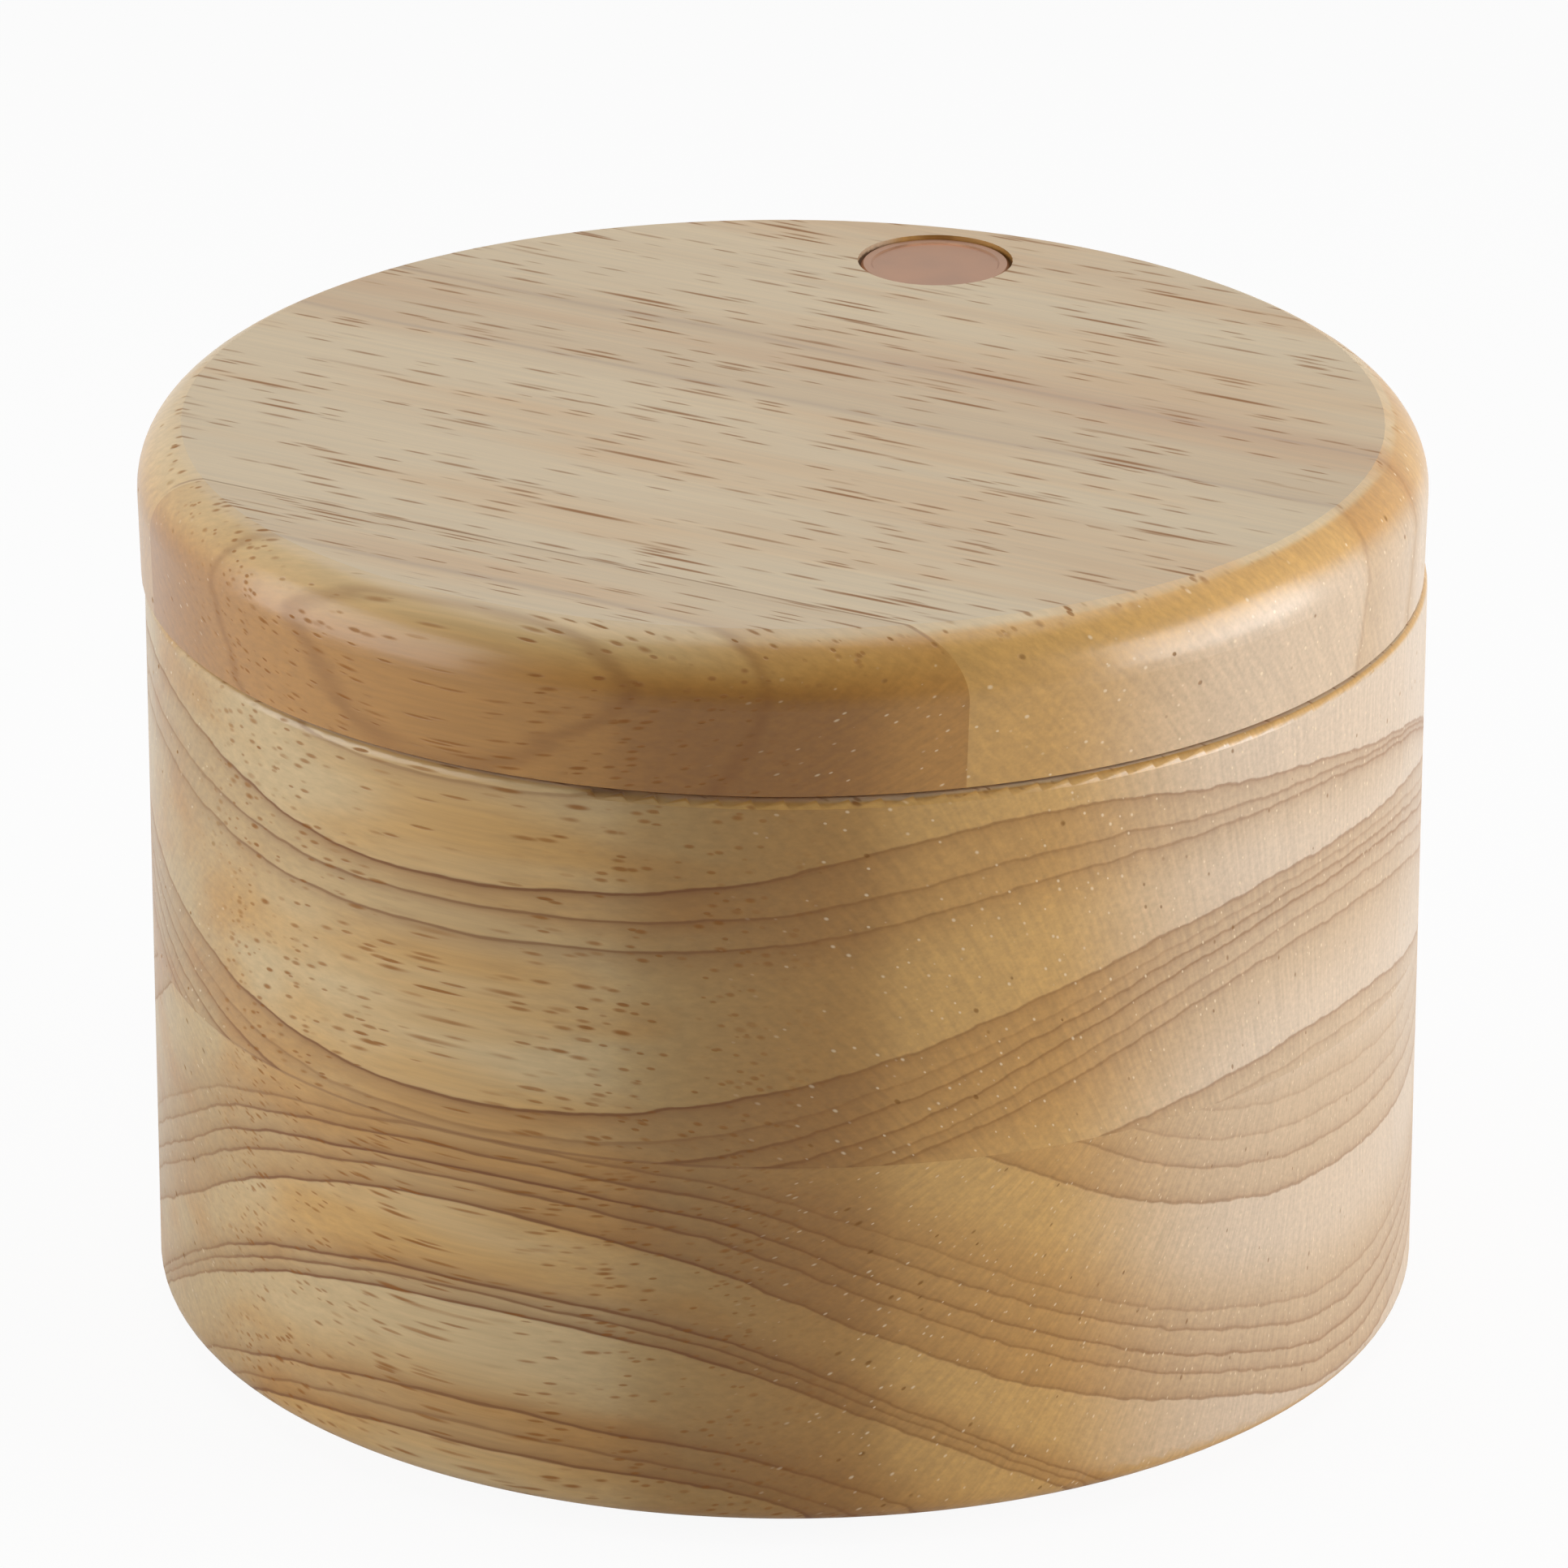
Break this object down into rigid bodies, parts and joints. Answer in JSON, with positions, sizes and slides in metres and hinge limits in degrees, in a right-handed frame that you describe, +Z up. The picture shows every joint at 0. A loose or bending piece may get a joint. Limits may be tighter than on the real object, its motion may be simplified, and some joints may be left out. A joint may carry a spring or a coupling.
{
  "type": "salt box",
  "caption": "Round turned-wood salt box whose thick round-edged lid swivels sideways on a vertical pivot hidden under a small metal disc, held shut by magnets.",
  "frame": {"origin": "centre of the flat base, on the surface that the box stands on", "axes": "+Z up along the turned body's axis, +Y towards the lid's pivot, so -Y is the front where the lid opens"},
  "size_m": [0.1205, 0.1204, 0.0877],
  "materials": {
    "wood_upper_block": "satin clear lacquer on turned light hardwood",
    "wood_lower_block": "satin clear lacquer on turned light hardwood",
    "wood_lid_board": "satin clear lacquer on turned light hardwood",
    "wood_lid_strip": "satin clear lacquer on turned light hardwood",
    "copper": "satin copper-coloured metal",
    "stainless_steel": "turned",
    "nylon": "natural, matt",
    "brass": "turned",
    "nickel_plate": "bright nickel plate"
  },
  "bodies": {
    "box": {"body_upper_block": "wood_upper_block", "body_lower_block": "wood_lower_block", "pivot_screw": "stainless_steel", "threaded_insert": "brass", "body_magnet": "nickel_plate"},
    "lid": {"lid_main_board": "wood_lid_board", "lid_front_strip": "wood_lid_strip", "pivot_disc": "copper", "screw_washer": "stainless_steel", "pivot_bush": "nylon", "thrust_washer": "nylon", "lid_magnet": "nickel_plate"}
  },
  "joints": [
    {"name": "lid_swivel", "type": "hinge", "parent": "box", "child": "lid", "pos_m": [0, 0.0463, 0.0734], "axis": [0, 0, 1], "continuous": true}
  ]
}
